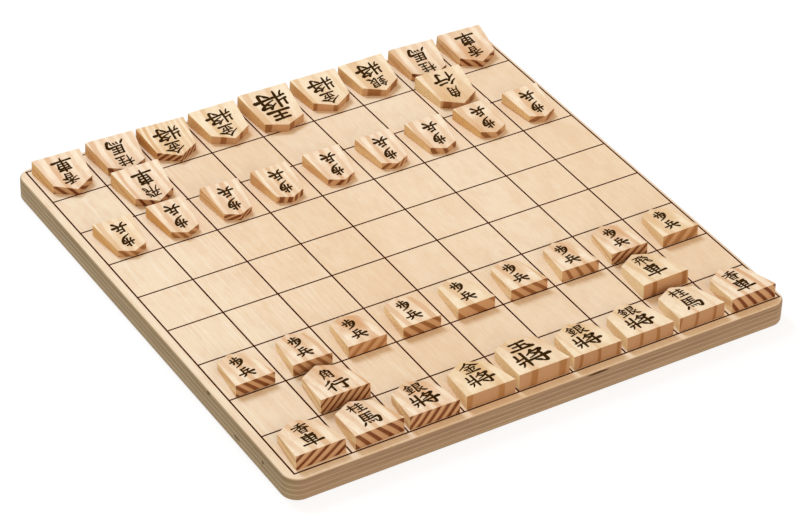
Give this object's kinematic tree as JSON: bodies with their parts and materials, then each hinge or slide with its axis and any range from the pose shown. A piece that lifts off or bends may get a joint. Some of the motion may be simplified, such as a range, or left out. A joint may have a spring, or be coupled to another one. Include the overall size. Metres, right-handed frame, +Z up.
{
  "type": "shogi set",
  "caption": "Square plywood board with an inked nine by nine grid, set up with loose wedge-shaped wooden playing pieces that lift off.",
  "frame": {"origin": "centre of the board's underside", "axes": "+Z up, the near player sits towards -Y, +X to that player's right"},
  "size_m": [0.2636, 0.2644, 0.0202],
  "materials": {
    "birch_face": "matte, fine sanded pale birch veneer",
    "birch_long_grain": "matte, sanded veneer edge cut along the grain",
    "birch_cross_grain": "matte, sanded veneer edge cut across the grain",
    "line_ink": "matte dark brown ink",
    "piece_wood": "matte, planed softwood with broad growth rings"
  },
  "bodies": {
    "board": {"ply_1_underside": "birch_face", "ply_2_core": "birch_cross_grain", "ply_3_core": "birch_long_grain", "ply_4_core": "birch_cross_grain", "ply_5_core": "birch_long_grain", "ply_6_core": "birch_cross_grain", "ply_7_core": "birch_long_grain", "ply_8_core": "birch_cross_grain", "ply_9_playing_face": "birch_face", "grid_lines": "line_ink"},
    "far_bishop_8": {"far_bishop_8": "piece_wood"},
    "far_gold_3": {"far_gold_3": "piece_wood"},
    "far_gold_4": {"far_gold_4": "piece_wood"},
    "far_gold_6": {"far_gold_6": "piece_wood"},
    "far_king_5": {"far_king_5": "piece_wood"},
    "far_knight_2": {"far_knight_2": "piece_wood"},
    "far_knight_8": {"far_knight_8": "piece_wood"},
    "far_lance_1": {"far_lance_1": "piece_wood"},
    "far_lance_9": {"far_lance_9": "piece_wood"},
    "far_pawn_1": {"far_pawn_1": "piece_wood"},
    "far_pawn_2": {"far_pawn_2": "piece_wood"},
    "far_pawn_3": {"far_pawn_3": "piece_wood"},
    "far_pawn_4": {"far_pawn_4": "piece_wood"},
    "far_pawn_5": {"far_pawn_5": "piece_wood"},
    "far_pawn_6": {"far_pawn_6": "piece_wood"},
    "far_pawn_7": {"far_pawn_7": "piece_wood"},
    "far_pawn_8": {"far_pawn_8": "piece_wood"},
    "far_pawn_9": {"far_pawn_9": "piece_wood"},
    "far_rook_2": {"far_rook_2": "piece_wood"},
    "far_silver_7": {"far_silver_7": "piece_wood"},
    "near_bishop_2": {"near_bishop_2": "piece_wood"},
    "near_gold_4": {"near_gold_4": "piece_wood"},
    "near_king_5": {"near_king_5": "piece_wood"},
    "near_knight_2": {"near_knight_2": "piece_wood"},
    "near_knight_8": {"near_knight_8": "piece_wood"},
    "near_lance_1": {"near_lance_1": "piece_wood"},
    "near_lance_9": {"near_lance_9": "piece_wood"},
    "near_pawn_1": {"near_pawn_1": "piece_wood"},
    "near_pawn_2": {"near_pawn_2": "piece_wood"},
    "near_pawn_3": {"near_pawn_3": "piece_wood"},
    "near_pawn_4": {"near_pawn_4": "piece_wood"},
    "near_pawn_5": {"near_pawn_5": "piece_wood"},
    "near_pawn_6": {"near_pawn_6": "piece_wood"},
    "near_pawn_7": {"near_pawn_7": "piece_wood"},
    "near_pawn_8": {"near_pawn_8": "piece_wood"},
    "near_pawn_9": {"near_pawn_9": "piece_wood"},
    "near_rook_8": {"near_rook_8": "piece_wood"},
    "near_silver_3": {"near_silver_3": "piece_wood"},
    "near_silver_6": {"near_silver_6": "piece_wood"},
    "near_silver_7": {"near_silver_7": "piece_wood"}
  },
  "joints": [
    {"name": "far_bishop_8_lift", "type": "slide", "parent": "board", "child": "far_bishop_8", "axis": [0, 0, 1], "range_m": [0, 0.04]},
    {"name": "far_gold_3_lift", "type": "slide", "parent": "board", "child": "far_gold_3", "axis": [0, 0, 1], "range_m": [0, 0.04]},
    {"name": "far_gold_4_lift", "type": "slide", "parent": "board", "child": "far_gold_4", "axis": [0, 0, 1], "range_m": [0, 0.04]},
    {"name": "far_gold_6_lift", "type": "slide", "parent": "board", "child": "far_gold_6", "axis": [0, 0, 1], "range_m": [0, 0.04]},
    {"name": "far_king_5_lift", "type": "slide", "parent": "board", "child": "far_king_5", "axis": [0, 0, 1], "range_m": [0, 0.04]},
    {"name": "far_knight_2_lift", "type": "slide", "parent": "board", "child": "far_knight_2", "axis": [0, 0, 1], "range_m": [0, 0.04]},
    {"name": "far_knight_8_lift", "type": "slide", "parent": "board", "child": "far_knight_8", "axis": [0, 0, 1], "range_m": [0, 0.04]},
    {"name": "far_lance_1_lift", "type": "slide", "parent": "board", "child": "far_lance_1", "axis": [0, 0, 1], "range_m": [0, 0.04]},
    {"name": "far_lance_9_lift", "type": "slide", "parent": "board", "child": "far_lance_9", "axis": [0, 0, 1], "range_m": [0, 0.04]},
    {"name": "far_pawn_1_lift", "type": "slide", "parent": "board", "child": "far_pawn_1", "axis": [0, 0, 1], "range_m": [0, 0.04]},
    {"name": "far_pawn_2_lift", "type": "slide", "parent": "board", "child": "far_pawn_2", "axis": [0, 0, 1], "range_m": [0, 0.04]},
    {"name": "far_pawn_3_lift", "type": "slide", "parent": "board", "child": "far_pawn_3", "axis": [0, 0, 1], "range_m": [0, 0.04]},
    {"name": "far_pawn_4_lift", "type": "slide", "parent": "board", "child": "far_pawn_4", "axis": [0, 0, 1], "range_m": [0, 0.04]},
    {"name": "far_pawn_5_lift", "type": "slide", "parent": "board", "child": "far_pawn_5", "axis": [0, 0, 1], "range_m": [0, 0.04]},
    {"name": "far_pawn_6_lift", "type": "slide", "parent": "board", "child": "far_pawn_6", "axis": [0, 0, 1], "range_m": [0, 0.04]},
    {"name": "far_pawn_7_lift", "type": "slide", "parent": "board", "child": "far_pawn_7", "axis": [0, 0, 1], "range_m": [0, 0.04]},
    {"name": "far_pawn_8_lift", "type": "slide", "parent": "board", "child": "far_pawn_8", "axis": [0, 0, 1], "range_m": [0, 0.04]},
    {"name": "far_pawn_9_lift", "type": "slide", "parent": "board", "child": "far_pawn_9", "axis": [0, 0, 1], "range_m": [0, 0.04]},
    {"name": "far_rook_2_lift", "type": "slide", "parent": "board", "child": "far_rook_2", "axis": [0, 0, 1], "range_m": [0, 0.04]},
    {"name": "far_silver_7_lift", "type": "slide", "parent": "board", "child": "far_silver_7", "axis": [0, 0, 1], "range_m": [0, 0.04]},
    {"name": "near_bishop_2_lift", "type": "slide", "parent": "board", "child": "near_bishop_2", "axis": [0, 0, 1], "range_m": [0, 0.04]},
    {"name": "near_gold_4_lift", "type": "slide", "parent": "board", "child": "near_gold_4", "axis": [0, 0, 1], "range_m": [0, 0.04]},
    {"name": "near_king_5_lift", "type": "slide", "parent": "board", "child": "near_king_5", "axis": [0, 0, 1], "range_m": [0, 0.04]},
    {"name": "near_knight_2_lift", "type": "slide", "parent": "board", "child": "near_knight_2", "axis": [0, 0, 1], "range_m": [0, 0.04]},
    {"name": "near_knight_8_lift", "type": "slide", "parent": "board", "child": "near_knight_8", "axis": [0, 0, 1], "range_m": [0, 0.04]},
    {"name": "near_lance_1_lift", "type": "slide", "parent": "board", "child": "near_lance_1", "axis": [0, 0, 1], "range_m": [0, 0.04]},
    {"name": "near_lance_9_lift", "type": "slide", "parent": "board", "child": "near_lance_9", "axis": [0, 0, 1], "range_m": [0, 0.04]},
    {"name": "near_pawn_1_lift", "type": "slide", "parent": "board", "child": "near_pawn_1", "axis": [0, 0, 1], "range_m": [0, 0.04]},
    {"name": "near_pawn_2_lift", "type": "slide", "parent": "board", "child": "near_pawn_2", "axis": [0, 0, 1], "range_m": [0, 0.04]},
    {"name": "near_pawn_3_lift", "type": "slide", "parent": "board", "child": "near_pawn_3", "axis": [0, 0, 1], "range_m": [0, 0.04]},
    {"name": "near_pawn_4_lift", "type": "slide", "parent": "board", "child": "near_pawn_4", "axis": [0, 0, 1], "range_m": [0, 0.04]},
    {"name": "near_pawn_5_lift", "type": "slide", "parent": "board", "child": "near_pawn_5", "axis": [0, 0, 1], "range_m": [0, 0.04]},
    {"name": "near_pawn_6_lift", "type": "slide", "parent": "board", "child": "near_pawn_6", "axis": [0, 0, 1], "range_m": [0, 0.04]},
    {"name": "near_pawn_7_lift", "type": "slide", "parent": "board", "child": "near_pawn_7", "axis": [0, 0, 1], "range_m": [0, 0.04]},
    {"name": "near_pawn_8_lift", "type": "slide", "parent": "board", "child": "near_pawn_8", "axis": [0, 0, 1], "range_m": [0, 0.04]},
    {"name": "near_pawn_9_lift", "type": "slide", "parent": "board", "child": "near_pawn_9", "axis": [0, 0, 1], "range_m": [0, 0.04]},
    {"name": "near_rook_8_lift", "type": "slide", "parent": "board", "child": "near_rook_8", "axis": [0, 0, 1], "range_m": [0, 0.04]},
    {"name": "near_silver_3_lift", "type": "slide", "parent": "board", "child": "near_silver_3", "axis": [0, 0, 1], "range_m": [0, 0.04]},
    {"name": "near_silver_6_lift", "type": "slide", "parent": "board", "child": "near_silver_6", "axis": [0, 0, 1], "range_m": [0, 0.04]},
    {"name": "near_silver_7_lift", "type": "slide", "parent": "board", "child": "near_silver_7", "axis": [0, 0, 1], "range_m": [0, 0.04]}
  ]
}
